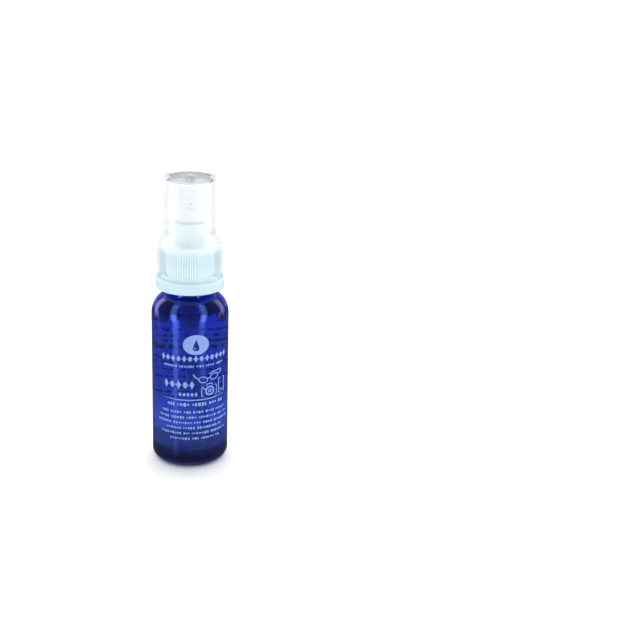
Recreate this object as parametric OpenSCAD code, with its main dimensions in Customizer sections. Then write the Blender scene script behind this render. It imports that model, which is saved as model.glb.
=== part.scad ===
// Lens cleaning spray: a small filled pump bottle with a stepped clear hood.
// Millimetres, +Z up, origin at the centre of the base. The nozzle faces -Y.

/* [Bottle] */
// Outside diameter of the bottle body
body_d = 28.8; // [28.4:0.1:29.6]
// Height of the straight wall's upper end, where the shoulder starts
wall_top = 58; // [57.6:0.1:58.2]
// Radius of the shoulder arc
shoulder_r = 8.7; // [8.5:0.1:8.8]
// Radius of the heel round the base
heel_r = 3.5; // [3:0.1:4]
// Wall thickness of the blown body
wall = 0.8; // [0.6:0.05:0.9]
// Rise of the push-up in the middle of the base
push_up = 1.8; // [1.2:0.1:2]

/* [Neck finish] */
// Outside diameter of the neck below the thread crests
neck_d = 17.5; // [17.3:0.1:17.6]
// Diameter over the thread crests
thread_d = 19.8; // [19.5:0.05:19.8]
// Bore of the neck
neck_bore_d = 13.2; // [12.8:0.1:13.6]
// Height of the sealing face at the top of the neck
neck_top = 80.6; // [80.6:0.1:80.6]
// Lead of the thread, eight turns to the inch
thread_pitch = 3.175; // [3.175:0.001:3.175]
// Turns of thread on the neck
thread_turns = 1.5; // [1.2:0.1:1.6]

/* [Closure] */
// Diameter of the smooth band at the foot of the closure
band_d = 25.4; // [25:0.1:25.6]
// Height of the underside of the band
band_z = 68; // [67.8:0.1:68.4]
// Height of the band
band_h = 4.2; // [3.8:0.1:4.2]
// Diameter over the grip ribs
rib_d = 22.24; // [22:0.02:22.3]
// Number of grip ribs
rib_count = 76; // [60:1:80]
// Outside diameter of the chimney that guides the actuator
chimney_d = 13; // [12.6:0.1:13.2]
// Height of the top of the chimney
chimney_top = 93; // [91:0.1:93]

/* [Actuator] */
// Outside diameter of the actuator
act_d = 10.9; // [10.6:0.05:11]
// Height of the top rim of the actuator
act_top = 105.4; // [104:0.1:105.6]
// Height of the spray orifice
orifice_z = 100.5; // [100:0.1:101]
// Diameter of the spray orifice
orifice_d = 0.3; // [0.25:0.05:0.5]

/* [Overcap] */
// Overall height of the closed spray
total_h = 110.4; // [109.4:0.1:112]
// Outside diameter of the narrow part at the top
hood_top_d = 18.5; // [18.2:0.1:18.8]
// Outside diameter of the narrow part above the step
hood_low_d = 19.6; // [19.4:0.1:19.8]
// Outside diameter of the wide skirt
skirt_d = 24.5; // [24.4:0.05:24.8]
// Wall thickness of the hood
hood_wall = 0.9; // [0.8:0.05:0.95]

/* [Pump] */
// Bore of the pump barrel
barrel_bore_d = 6.4; // [6.4:0.1:6.4]
// Outside diameter of the piston lips
piston_d = 6.34; // [6.3:0.01:6.36]
// Outside diameter of the stem
stem_d = 3.8; // [3.7:0.02:3.82]
// Wire diameter of the return spring
wire_d = 0.5; // [0.35:0.05:0.5]
// Turns of the return spring
spring_turns = 5.2; // [4:0.1:5.4]
// Diameter of the inlet ball
ball_d = 2.5; // [2.4:0.02:2.6]

/* [Dip tube] */
// Outside diameter of the dip tube
tube_d = 3.78; // [3.6:0.02:3.78]
// Bore of the dip tube
tube_bore_d = 2.4; // [2:0.1:2.6]
// How far the bent tube reaches sideways at its tip
tube_reach = 9.8; // [6:0.1:9.8]
// Direction in which the tube bends, from +X
tube_azimuth = -30; // [-180:1:180]

/* [Liquid] */
// Height of the liquid's surface
fill_z = 60.5; // [40:0.5:61]

/* [Hidden] */
$fn = 96;
body_r = body_d / 2;
foot_in = 8.4;
foot_out = body_r - heel_r;
sh_cx = body_r - shoulder_r;
neck_r = neck_d / 2;
bore_r = neck_bore_d / 2;
sh_end_a = acos((neck_r + 0.3 - sh_cx) / shoulder_r);
sh_end_z = wall_top + shoulder_r * sin(sh_end_a);
dome_r = (foot_in * foot_in + push_up * push_up) / (2 * push_up);
dome_cz = push_up - dome_r;
gasket_z = neck_top;
flange_z = gasket_z + 1;
plate_z = flange_z + 1.2;
deck_z = plate_z + 1.6;
band_top = band_z + band_h;
cl_bore_r = 10;
chim_r = chimney_d / 2;
chim_bore_r = chim_r - 0.8;
corner_r = 2.2;
corner_z = deck_z - corner_r;
act_r = act_d / 2;
act_z0 = 90.5;
stem_r = stem_d / 2;
stem_top = 96;
ledge_z = 63;
bar_r = barrel_bore_d / 2;
sock_z0 = 53.5;
sock_z1 = 57.5;
seat_z = 59.6;
seat_r = 0.9;
ball_r = ball_d / 2;
ball_z = seat_z + sqrt(ball_r * ball_r - seat_r * seat_r) + 0.01;
pin_flange_z = 71.5;
carrier_z0 = 72.6;
carrier_z1 = 76.8;
tip_z = 2.8;
tube_drop = sock_z0 - tip_z;
tube_R = (tube_reach * tube_reach + tube_drop * tube_drop) / (2 * tube_reach);
tube_a = asin(tube_drop / tube_R);

// ---------- shared shapes ----------

// Points along an arc
function arc(cx, cy, r, a0, a1, n = 10) =
    [for (i = [0:n]) let (a = a0 + (a1 - a0) * i / n) [cx + r * cos(a), cy + r * sin(a)]];

// Points along a soft step from p to q, flat at both ends
function step(p, q, n = 12) =
    [for (i = [0:n]) let (t = i / n, s = (1 - cos(180 * t)) / 2) [p[0] + (q[0] - p[0]) * s, p[1] + (q[1] - p[1]) * t]];

function rev(a) = [for (i = [len(a) - 1:-1:0]) a[i]];

// A thread of trapezoid section, built as short arcs that climb one after another.
// r_base is buried in the wall it stands on. Works outside (r_tip > r_base) and inside.
module thread_run(r_base, r_tip, w_base, w_tip, lead, turns, z_start, per = 24) {
    for (i = [0:round(turns * per) - 1])
        rotate([0, 0, 360 * i / per]) translate([0, 0, z_start + lead * (i + 0.5) / per])
            rotate_extrude(angle = 360 / per + 0.6)
                polygon([[r_base, -w_base / 2], [r_tip, -w_tip / 2], [r_tip, w_tip / 2], [r_base, w_base / 2]]);
}

// The dip tube's path, solid, at radius r
module tube_path(r, extra = 0) {
    rotate([0, 0, tube_azimuth])
        translate([tube_R, 0, sock_z0]) rotate([0, 180, 0]) rotate([90, 0, 0])
            rotate_extrude(angle = tube_a + extra, $fn = 180) translate([tube_R, 0]) circle(r = r, $fn = 48);
}

// ---------- bottle ----------

bottle_out = concat(
    arc(0, dome_cz, dome_r, 90, acos(foot_in / dome_r), 8),
    arc(foot_out, heel_r, heel_r, -90, 0, 10),
    arc(sh_cx, wall_top, shoulder_r, 0, sh_end_a, 16),
    [[neck_r, sh_end_z + 0.35], [neck_r, neck_top - 0.3], [neck_r - 0.3, neck_top]]);

bottle_in = concat(
    arc(0, dome_cz, dome_r + wall, 90, asin((wall - dome_cz) / (dome_r + wall)), 8),
    arc(foot_out, heel_r, heel_r - wall, -90, 0, 10),
    arc(sh_cx, wall_top, shoulder_r - wall, 0, acos((bore_r + 0.4 - sh_cx) / (shoulder_r - wall)), 16),
    [[bore_r, wall_top + shoulder_r - wall + 0.4], [bore_r, neck_top]]);

module bottle() {
    color([0.09, 0.16, 0.62, 0.6]) union() {
        rotate_extrude() polygon(concat(bottle_out, rev(bottle_in)));
        // outside thread of the neck
        thread_run(neck_r - 0.25, thread_d / 2, 1.4, 0.8, thread_pitch, thread_turns, 72.9);
        // transfer bead under the thread
        translate([0, 0, 69.2]) rotate_extrude()
            polygon([[neck_r - 0.2, -0.5], [neck_r + 0.45, -0.2], [neck_r + 0.45, 0.2], [neck_r - 0.2, 0.5]]);
    }
}

// Liquid, held 0.05 mm off the wall, with room for the tube and the pump
module cleaning_fluid() {
    g = 0.05;
    a_top = asin((fill_z - wall_top) / (shoulder_r - wall - g));
    profile = concat(
        arc(0, dome_cz, dome_r + wall + g, 90, asin((wall + g - dome_cz) / (dome_r + wall + g)), 8),
        arc(foot_out, heel_r, heel_r - wall - g, -90, 0, 10),
        fill_z > wall_top ? arc(sh_cx, wall_top, shoulder_r - wall - g, 0, a_top, 8)
                          : [[body_r - wall - g, fill_z]],
        [[0, fill_z]]);
    color([0.75, 0.85, 1, 0.35]) difference() {
        rotate_extrude() polygon(profile);
        translate([0, 0, sock_z0 - 0.1]) cylinder(h = 20, r = 2.9);
        tube_path(tube_d / 2 + 0.1, 0.2);
    }
}

// ---------- closure ----------

module closure() {
    shell = concat(
        [[cl_bore_r, band_z]],
        arc(band_d / 2 - 0.6, band_z + 0.6, 0.6, -90, 0, 5),
        arc(band_d / 2 - 0.8, band_top - 0.8, 0.8, 0, 90, 6),
        [[10.9, band_top], [10.9, corner_z]],
        arc(11.15 - corner_r, corner_z, corner_r, 0, 90, 10),
        [[chim_r + 0.5, deck_z], [chim_r + 0.15, deck_z + 0.15], [chim_r, deck_z + 0.5]],
        arc(chim_r - 0.35, chimney_top - 0.35, 0.35, 0, 90, 4),
        [[chim_bore_r + 0.2, chimney_top], [chim_bore_r, chimney_top - 0.2],
         [chim_bore_r, plate_z], [cl_bore_r, plate_z]]);
    color([0.93, 0.95, 0.97]) union() {
        rotate_extrude() polygon(shell);
        // grip ribs
        translate([0, 0, band_top - 0.2]) linear_extrude(height = corner_z - band_top + 0.3) difference() {
            polygon([for (i = [0:rib_count - 1]) for (k = [[-0.32, 10.88], [-0.16, rib_d / 2], [0.16, rib_d / 2], [0.32, 10.88]])
                let (a = 360 * (i + k[0]) / rib_count) [k[1] * cos(a), k[1] * sin(a)]]);
            circle(r = 10.5);
        }
        // inside thread, just under the neck's thread
        thread_run(cl_bore_r + 0.3, neck_r + 0.2, 1.2, 0.6, thread_pitch, 1.2, 71.8);
    }
}

module gasket() {
    color([0.9, 0.9, 0.88]) translate([0, 0, gasket_z]) difference() {
        cylinder(h = 1, r = 9.6);
        translate([0, 0, -1]) cylinder(h = 3, r = 5.75);
    }
}

// ---------- pump ----------

module pump_housing() {
    out = [[bar_r + 0.9, ledge_z - 0.8 + 0.7], [bar_r + 0.9, 75.6], [5.6, 76.9], [5.6, flange_z], [9.4, flange_z], [9.4, plate_z]];
    color([0.88, 0.9, 0.92]) difference() {
        rotate_extrude() polygon(concat(
            [[stem_r, sock_z0], [2.6, sock_z0], [2.8, sock_z0 + 0.3], [2.8, ledge_z - 0.9], [bar_r + 0.5, ledge_z - 0.6]],
            out,
            [[4.6, plate_z], [4.6, 76.95], [bar_r, 76.95], [bar_r, ledge_z], [1, ledge_z], [1, ledge_z - 0.8],
             [1.5, ledge_z - 0.8], [1.5, seat_z + 0.25], [seat_r, seat_z], [0.8, seat_z - 0.3], [0.8, sock_z1], [stem_r, sock_z1]]));
        // four ways past the lifted ball
        for (a = [0, 90]) rotate([0, 0, a]) translate([-1.5, -0.3, ledge_z - 1.2]) cube([3, 0.6, 1.6]);
        // vent in the side of the barrel
        translate([0, 0, 74.7]) rotate([-90, 0, 0]) cylinder(h = 6, r = 0.35, $fn = 24);
    }
}

module pump_cap() {
    color([0.9, 0.92, 0.94]) rotate_extrude() polygon([
        [stem_r + 0.07, 77], [2.8, 77], [2.8, plate_z - 1], [3.5, plate_z - 1], [3.5, 77], [4.3, 77], [4.57, 77.3],
        [4.57, plate_z], [5.5, plate_z], [5.5, plate_z + 0.9], [5.2, plate_z + 1.2], [stem_r + 0.4, plate_z + 1.2],
        [stem_r + 0.07, plate_z + 0.9]]);
}

// Hollow stem with the piston's carrier and the valve seat at its foot
module stem() {
    color([0.95, 0.95, 0.96]) rotate_extrude() polygon([
        [1.7, carrier_z0], [2.4, carrier_z0], [2.4, carrier_z1], [stem_r, carrier_z1], [stem_r, stem_top - 0.3],
        [stem_r - 0.3, stem_top], [0.8, stem_top], [0.8, 74.6], [1.7, 73.2]]);
}

module piston() {
    r = piston_d / 2;
    color([0.85, 0.87, 0.9]) rotate_extrude() polygon([
        [2.4, carrier_z0], [r - 0.25, carrier_z0], [r, carrier_z0 + 0.15], [r, carrier_z0 + 0.7], [r - 0.3, carrier_z0 + 1.1],
        [r - 0.3, carrier_z1 - 1.1], [r, carrier_z1 - 0.7], [r, carrier_z1 - 0.15], [r - 0.25, carrier_z1], [2.4, carrier_z1]]);
}

// Valve pin: cone in the stem's seat, flange on the spring, guide rod below
module valve_pin() {
    color([0.8, 0.82, 0.86]) rotate_extrude() polygon([
        [0, pin_flange_z - 2.6], [0.9, pin_flange_z - 2.6], [1.2, pin_flange_z - 2.3], [1.2, pin_flange_z],
        [2.9, pin_flange_z], [2.9, pin_flange_z + 0.8], [1.5, pin_flange_z + 0.8], [1.5, 73], [0.62, 74.45], [0.4, 75.2], [0, 75.2]]);
}

// Return spring: end coils closed up, the middle open
module return_spring() {
    sides = 8;
    per = 20;
    n = round(spring_turns * per);
    r = 2.3;
    z0 = ledge_z + 0.03 + wire_d / 2;
    z1 = pin_flange_z - 0.03 - wire_d / 2;
    // height along the coil: the closed ends rise one wire a turn
    e = 0.9 / spring_turns;
    rise = wire_d * 0.9;
    function zz(t) = t < e ? z0 + rise * t / e
        : t > 1 - e ? z1 - rise * (1 - t) / e
        : z0 + rise + (z1 - z0 - 2 * rise) * (t - e) / (1 - 2 * e);
    pts = [for (i = [0:n]) let (t = i / n, a = 360 * spring_turns * t)
        for (k = [0:sides - 1]) let (b = 360 * k / sides)
            [(r + wire_d / 2 * cos(b)) * cos(a), (r + wire_d / 2 * cos(b)) * sin(a), zz(t) + wire_d / 2 * sin(b)]];
    skin = [for (i = [0:n - 1]) for (k = [0:sides - 1])
        let (a = sides * i + k, b = sides * i + (k + 1) % sides, c = a + sides, d = b + sides)
        for (t = [[a, c, b], [b, c, d]]) t];
    cap0 = [for (k = [1:sides - 2]) [0, k, k + 1]];
    cap1 = [for (k = [1:sides - 2]) [sides * n, sides * n + k + 1, sides * n + k]];
    color([0.75, 0.76, 0.78]) polyhedron(points = pts, faces = concat(skin, cap0, cap1), convexity = 8);
}

module inlet_ball() {
    color([0.7, 0.71, 0.73]) translate([0, 0, ball_z]) sphere(r = ball_r, $fn = 48);
}

module dip_tube() {
    color([0.85, 0.88, 0.92, 0.7]) difference() {
        union() {
            tube_path(tube_d / 2);
            // straight end in the pump's socket
            translate([0, 0, sock_z0 - 0.5]) cylinder(h = sock_z1 - sock_z0 + 0.45, r = tube_d / 2 - 0.02, $fn = 48);
        }
        tube_path(tube_bore_d / 2, 0.5);
        translate([0, 0, sock_z0 - 0.5]) cylinder(h = 10, r = tube_bore_d / 2 + 0.02, $fn = 48);
    }
}

// ---------- actuator ----------

module actuator() {
    shell = concat(
        [[act_r - 1.1, act_z0], [act_r - 0.2, act_z0], [act_r, act_z0 + 0.2]],
        arc(act_r - 0.7, act_top - 0.7, 0.7, 0, 90, 6),
        // finger dish
        [for (i = [1:8]) let (x = (act_r - 0.7) * (1 - i / 8)) [x, act_top - 1 * (1 - pow(x / (act_r - 0.7), 2))]],
        [[0, stem_top + 7], [2.2, 103 - 0.6], [act_r - 1.1, 102]]);
    color([0.93, 0.95, 0.97]) difference() {
        union() {
            // outer shell, hollow underneath
            rotate_extrude() polygon(shell);
            // boss for the stem
            translate([0, 0, act_z0 + 0.6]) cylinder(h = 103 - act_z0 - 1, r = 3);
            // block behind the nozzle
            intersection() {
                translate([-2.9, -act_r, orifice_z - 2.9]) cube([5.8, act_r, 5.2]);
                translate([0, 0, act_z0]) cylinder(h = 14, r = act_r - 0.4);
            }
        }
        // socket for the stem
        translate([0, 0, act_z0]) cylinder(h = stem_top - act_z0 + 0.1, r = stem_r + 0.05, $fn = 48);
        translate([0, 0, stem_top]) cylinder(h = orifice_z - stem_top + 0.8, r = 0.8, $fn = 24);
        // way to the nozzle
        translate([0, 0, orifice_z]) rotate([90, 0, 0]) translate([0, 0, -0.4]) cylinder(h = 4, r = 0.5, $fn = 24);
        translate([0, -1.6, orifice_z]) rotate([90, 0, 0]) difference() {
            translate([0, 0, 1.6]) cylinder(h = 6, r = 2.05, $fn = 48);
            // swirl post
            translate([0, 0, 1.5]) cylinder(h = 1.3, r = 1.1, $fn = 24);
        }
    }
}

// Nozzle insert: a small cup over the swirl post, with the spray orifice in its face
module nozzle_insert() {
    color([0.9, 0.93, 0.96]) translate([0, -3.25, orifice_z]) rotate([90, 0, 0]) rotate_extrude($fn = 48) polygon([
        [1.2, 0], [2.03, 0], [2.03, 1.9], [1.85, 2.1], [0.75, 2.1], [0.35, 1.75], [orifice_d / 2, 1.75], [orifice_d / 2, 1.3], [1.2, 1.3]]);
}

// ---------- overcap ----------

module overcap() {
    z0 = band_top + 0.05;
    tr = hood_top_d / 2;
    lr = hood_low_d / 2;
    sr = skirt_d / 2;
    out = concat(
        [[sr - 0.1, z0], [sr, z0 + 0.15]],
        step([sr - 0.05, 84.7], [lr, 88.1], 12),
        arc(tr - 0.9, total_h - 0.9, 0.9, 0, 90, 8),
        // raised rim, recessed top and gate well
        [[7.95, total_h], [7.85, total_h - 0.1], [7.8, total_h - 0.6], [1.95, total_h - 0.6], [1.85, total_h - 0.7],
         [1.8, total_h - 1.2], [0, total_h - 1.2]]);
    in = concat(
        [[sr - hood_wall + 0.05, z0], [sr - hood_wall - 0.02, z0 + 1], [11.2, z0 + 1.3], [11.2, z0 + 1.7], [sr - hood_wall - 0.02, z0 + 2]],
        step([sr - hood_wall - 0.05, 83.9], [lr - hood_wall, 87.4], 12),
        [[tr - hood_wall, total_h - 2.5], [tr - hood_wall - 0.15, total_h - 2.15], [tr - hood_wall - 0.5, total_h - 2], [0, total_h - 2]]);
    color([0.92, 0.96, 1, 0.35]) rotate_extrude() polygon(concat(out, rev(in)));
}

bottle();
cleaning_fluid();
closure();
gasket();
pump_housing();
pump_cap();
stem();
piston();
valve_pin();
return_spring();
inlet_ball();
dip_tube();
actuator();
nozzle_insert();
overcap();
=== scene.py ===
"""Looks for the lens cleaning spray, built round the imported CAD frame. Sizes here are in millimetres unless said otherwise."""

import math
import random

import bmesh
import bpy
import numpy as np
from mathutils import Matrix, Vector


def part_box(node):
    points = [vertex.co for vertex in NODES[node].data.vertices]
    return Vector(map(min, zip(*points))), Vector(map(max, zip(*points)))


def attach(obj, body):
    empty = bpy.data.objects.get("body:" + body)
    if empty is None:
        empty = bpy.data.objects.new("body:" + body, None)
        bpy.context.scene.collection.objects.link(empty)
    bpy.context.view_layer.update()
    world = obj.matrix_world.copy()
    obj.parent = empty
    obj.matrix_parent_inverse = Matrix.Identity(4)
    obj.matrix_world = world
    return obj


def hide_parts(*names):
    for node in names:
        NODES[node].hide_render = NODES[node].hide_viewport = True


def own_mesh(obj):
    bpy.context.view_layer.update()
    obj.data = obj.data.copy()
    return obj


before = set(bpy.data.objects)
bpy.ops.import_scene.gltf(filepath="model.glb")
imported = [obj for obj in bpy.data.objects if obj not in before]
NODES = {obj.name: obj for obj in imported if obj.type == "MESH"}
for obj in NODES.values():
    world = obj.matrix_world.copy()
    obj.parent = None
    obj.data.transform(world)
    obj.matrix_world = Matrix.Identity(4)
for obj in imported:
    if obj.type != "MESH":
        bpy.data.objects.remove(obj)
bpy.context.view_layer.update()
MM = 0.001
TAU = 2 * math.pi


def box_mm(node):
    lo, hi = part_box(node)
    return [v / MM for v in lo], [v / MM for v in hi]


BODY_R = box_mm("bottle")[1][0]
NECK_TOP = box_mm("bottle")[1][2]
TOP = box_mm("overcap")[1][2]
BAND_Z, CHIM_TOP = box_mm("closure")[0][2], box_mm("closure")[1][2]
ACT_Z0, ACT_TOP = box_mm("actuator")[0][2], box_mm("actuator")[1][2]
FILL = box_mm("cleaning_fluid")[1][2]

# ------------------------------------------------------------------ mesh tools


def fillet(points, n=5):
    """Points (r, z) or (r, z, radius) as a closed loop, with the given corners rounded."""
    out = []
    m = len(points)
    for i, p in enumerate(points):
        if len(p) < 3 or p[2] <= 0:
            out.append((p[0], p[1]))
            continue
        a, b, c = (np.array(points[(i + k) % m][:2], float) for k in (-1, 0, 1))
        u, v = a - b, c - b
        lu, lv = np.linalg.norm(u), np.linalg.norm(v)
        if lu < 1e-9 or lv < 1e-9:
            out.append((p[0], p[1]))
            continue
        u, v = u / lu, v / lv
        ang = math.acos(max(-1, min(1, float(u @ v))))
        if ang > math.pi - 0.02:
            out.append((p[0], p[1]))
            continue
        d = min(p[2] / math.tan(ang / 2), 0.48 * lu, 0.48 * lv)
        r = d * math.tan(ang / 2)
        bis = (u + v) / np.linalg.norm(u + v)
        centre = b + bis * (r / math.sin(ang / 2))
        s, e = b + u * d - centre, b + v * d - centre
        turn = math.atan2(s[0] * e[1] - s[1] * e[0], float(s @ e))
        for k in range(n + 1):
            t = turn * k / n
            q = centre + np.array(
                (
                    s[0] * math.cos(t) - s[1] * math.sin(t),
                    s[0] * math.sin(t) + s[1] * math.cos(t),
                )
            )
            out.append((float(q[0]), float(q[1])))
    return out


def arc(cx, cy, r, a0, a1, n):
    return [
        (
            cx + r * math.cos(math.radians(a0 + (a1 - a0) * i / n)),
            cy + r * math.sin(math.radians(a0 + (a1 - a0) * i / n)),
        )
        for i in range(n + 1)
    ]


def step(p, q, n):
    return [
        (p[0] + (q[0] - p[0]) * (1 - math.cos(math.pi * i / n)) / 2, p[1] + (q[1] - p[1]) * i / n)
        for i in range(n + 1)
    ]


def line(p, q, n):
    """n pieces from p to q, both ends left out."""
    return [(p[0] + (q[0] - p[0]) * i / n, p[1] + (q[1] - p[1]) * i / n) for i in range(1, n)]


def lathe(profile, seg=192, warp=None):
    """Turns a closed (r, z) loop about Z. warp(index, angles, r, z) may change r and z round the ring."""
    th = np.arange(seg) * TAU / seg
    verts, faces, rings = [], [], []
    for i, (r, z) in enumerate(profile):
        if r < 1e-6:
            rings.append([len(verts)])
            verts.append((0.0, 0.0, z))
            continue
        rr, zz = np.full(seg, float(r)), np.full(seg, float(z))
        if warp:
            rr, zz = warp(i, th, rr, zz)
        start = len(verts)
        verts += list(zip(rr * np.cos(th), rr * np.sin(th), zz))
        rings.append(list(range(start, start + seg)))
    m = len(rings)
    for i in range(m):
        a, b = rings[i], rings[(i + 1) % m]
        if len(a) == 1 and len(b) == 1:
            continue
        for k in range(seg):
            j = (k + 1) % seg
            if len(a) == 1:
                faces.append((a[0], b[k], b[j]))
            elif len(b) == 1:
                faces.append((a[k], b[0], a[j]))
            else:
                faces.append((a[k], b[k], b[j], a[j]))
    return verts, faces


def sweep(points, radius, sides=16, cap=True, hollow=None):
    """A round bar along points (mm). hollow gives a bore radius."""
    pts = [Vector(p) for p in points]
    verts, faces = [], []
    n = len(pts)
    ref = None
    frames = []
    for i, p in enumerate(pts):
        t = (pts[min(i + 1, n - 1)] - pts[max(i - 1, 0)]).normalized()
        if ref is None:
            ref = t.orthogonal().normalized()
        ref = (ref - t * ref.dot(t)).normalized()
        frames.append((p, ref.copy(), t.cross(ref)))

    def tube(rad, flip):
        s = len(verts)
        for p, u, v in frames:
            for k in range(sides):
                a = TAU * k / sides
                verts.append(tuple(p + (u * math.cos(a) + v * math.sin(a)) * rad))
        for i in range(n - 1):
            for k in range(sides):
                j = (k + 1) % sides
                q = (s + i * sides + k, s + i * sides + j, s + (i + 1) * sides + j, s + (i + 1) * sides + k)
                faces.append(q[::-1] if flip else q)
        return s

    s0 = tube(radius, False)
    if hollow:
        s1 = tube(hollow, True)
        for base in (0, (n - 1) * sides):
            for k in range(sides):
                j = (k + 1) % sides
                q = (s0 + base + k, s1 + base + k, s1 + base + j, s0 + base + j)
                faces.append(q if base == 0 else q[::-1])
    elif cap:
        faces.append(tuple(s0 + k for k in range(sides))[::-1])
        faces.append(tuple(s0 + (n - 1) * sides + k for k in range(sides)))
    return verts, faces


def join(*parts):
    verts, faces = [], []
    for v, f in parts:
        s = len(verts)
        verts += list(v)
        faces += [tuple(s + i for i in q) for q in f]
    return verts, faces


def make(name, geo, mat, body, nodes=(), sharp=33.0, recalc=True):
    verts, faces = geo
    me = bpy.data.meshes.new(name)
    me.from_pydata([(x * MM, y * MM, z * MM) for x, y, z in verts], [], faces)
    bm = bmesh.new()
    bm.from_mesh(me)
    bmesh.ops.remove_doubles(bm, verts=bm.verts, dist=2e-8)
    if recalc:
        bmesh.ops.recalc_face_normals(bm, faces=bm.faces)
    lim = math.radians(sharp)
    for f in bm.faces:
        f.smooth = True
    for e in bm.edges:
        if len(e.link_faces) == 2 and e.calc_face_angle(0) > lim:
            e.smooth = False
    bm.to_mesh(me)
    bm.free()
    me.update()
    me.materials.append(mat)
    o = bpy.data.objects.new(name, me)
    bpy.context.scene.collection.objects.link(o)
    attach(o, body)
    if nodes:
        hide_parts(*nodes)
    return o


# ------------------------------------------------------------------ materials


def new_mat(name):
    m = bpy.data.materials.new(name)
    m.use_nodes = True
    nt = m.node_tree
    return m, nt, nt.nodes["Principled BSDF"], nt.nodes["Material Output"]


def setp(bsdf, **kw):
    names = {
        "color": "Base Color",
        "rough": "Roughness",
        "metal": "Metallic",
        "ior": "IOR",
        "trans": "Transmission Weight",
        "spec": "Specular IOR Level",
        "coat": "Coat Weight",
        "coat_rough": "Coat Roughness",
        "sss": "Subsurface Weight",
        "sss_scale": "Subsurface Scale",
        "sss_radius": "Subsurface Radius",
        "aniso": "Anisotropic",
    }
    for k, v in kw.items():
        bsdf.inputs[names[k]].default_value = v


def noise(nt, scale, detail=3.0, rough=0.5, stretch=None):
    tc = nt.nodes.new("ShaderNodeTexCoord")
    mp = nt.nodes.new("ShaderNodeMapping")
    nz = nt.nodes.new("ShaderNodeTexNoise")
    nt.links.new(tc.outputs["Object"], mp.inputs["Vector"])
    if stretch:
        mp.inputs["Scale"].default_value = stretch
    nt.links.new(mp.outputs["Vector"], nz.inputs["Vector"])
    nz.inputs["Scale"].default_value = scale
    nz.inputs["Detail"].default_value = detail
    nz.inputs["Roughness"].default_value = rough
    return nz.outputs["Fac"]


def ramp(nt, fac, lo, hi, a=0.3, b=0.7):
    r = nt.nodes.new("ShaderNodeMapRange")
    r.inputs["From Min"].default_value = a
    r.inputs["From Max"].default_value = b
    r.inputs["To Min"].default_value = lo
    r.inputs["To Max"].default_value = hi
    nt.links.new(fac, r.inputs["Value"])
    return r.outputs["Result"]


def tint(nt, fac, c0, c1, a=0.3, b=0.7):
    r = nt.nodes.new("ShaderNodeValToRGB")
    r.color_ramp.elements[0].position = a
    r.color_ramp.elements[1].position = b
    r.color_ramp.elements[0].color = (*c0, 1)
    r.color_ramp.elements[1].color = (*c1, 1)
    nt.links.new(fac, r.inputs["Fac"])
    return r.outputs["Color"]


def bump(nt, bsdf, fac, strength, dist_mm):
    b = nt.nodes.new("ShaderNodeBump")
    b.inputs["Strength"].default_value = strength
    b.inputs["Distance"].default_value = dist_mm * MM
    nt.links.new(fac, b.inputs["Height"])
    nt.links.new(b.outputs["Normal"], bsdf.inputs["Normal"])


def by_height(nt, color, stops):
    """Multiplies a colour by factors that change with height (m): stops are (z, (r, g, b))."""
    tc = nt.nodes.new("ShaderNodeTexCoord")
    sp = nt.nodes.new("ShaderNodeSeparateXYZ")
    nt.links.new(tc.outputs["Object"], sp.inputs[0])
    for (z0, c0), (z1, c1) in zip(stops[:-1], stops[1:]):
        mr = nt.nodes.new("ShaderNodeMapRange")
        mr.interpolation_type = "SMOOTHSTEP"
        nt.links.new(sp.outputs["Z"], mr.inputs["Value"])
        mr.inputs["From Min"].default_value, mr.inputs["From Max"].default_value = z0, z1
        rp = nt.nodes.new("ShaderNodeMix")
        rp.data_type = "RGBA"
        nt.links.new(mr.outputs["Result"], rp.inputs[0])
        first = (z0, c0) == stops[0]
        rp.inputs[6].default_value = (*c0, 1) if first else (1, 1, 1, 1)
        rp.inputs[7].default_value = (*c1, 1) if first else (c1[0] / c0[0], c1[1] / c0[1], c1[2] / c0[2], 1)
        mu = nt.nodes.new("ShaderNodeMix")
        mu.data_type = "RGBA"
        mu.blend_type = "MULTIPLY"
        mu.inputs[0].default_value = 1.0
        nt.links.new(color, mu.inputs[6])
        nt.links.new(rp.outputs[2], mu.inputs[7])
        color = mu.outputs[2]
    return color


def shadow_pass(nt, bsdf, out, color, least=0.0):
    """Lets light through clear plastic, so that what it covers is lit. least is the share that seen rays pass straight."""
    lp = nt.nodes.new("ShaderNodeLightPath")
    tr = nt.nodes.new("ShaderNodeBsdfTransparent")
    tr.inputs["Color"].default_value = (*color, 1)
    mx = nt.nodes.new("ShaderNodeMixShader")
    either = nt.nodes.new("ShaderNodeMath")
    either.operation = "MAXIMUM"
    nt.links.new(lp.outputs["Is Shadow Ray"], either.inputs[0])
    nt.links.new(lp.outputs["Is Diffuse Ray"], either.inputs[1])
    fac = either.outputs["Value"]
    if least:
        floor_ = nt.nodes.new("ShaderNodeMath")
        floor_.operation = "MAXIMUM"
        nt.links.new(fac, floor_.inputs[0])
        floor_.inputs[1].default_value = least
        fac = floor_.outputs["Value"]
    nt.links.new(fac, mx.inputs["Fac"])
    nt.links.new(bsdf.outputs["BSDF"], mx.inputs[1])
    nt.links.new(tr.outputs["BSDF"], mx.inputs[2])
    nt.links.new(mx.outputs["Shader"], out.inputs["Surface"])


def plastic(name, c0, c1, rough=(0.3, 0.42), scale=900, bump_mm=0.01, strength=0.25, **kw):
    """Moulded opaque plastic: faint tone drift, fine moulded texture."""
    m, nt, b, out = new_mat(name)
    nt.links.new(tint(nt, noise(nt, 90, 2), c0, c1), b.inputs["Base Color"])
    nt.links.new(ramp(nt, noise(nt, 260, 3), *rough), b.inputs["Roughness"])
    bump(nt, b, noise(nt, scale, 3, 0.55), strength, bump_mm)
    setp(b, **kw)
    return m


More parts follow.
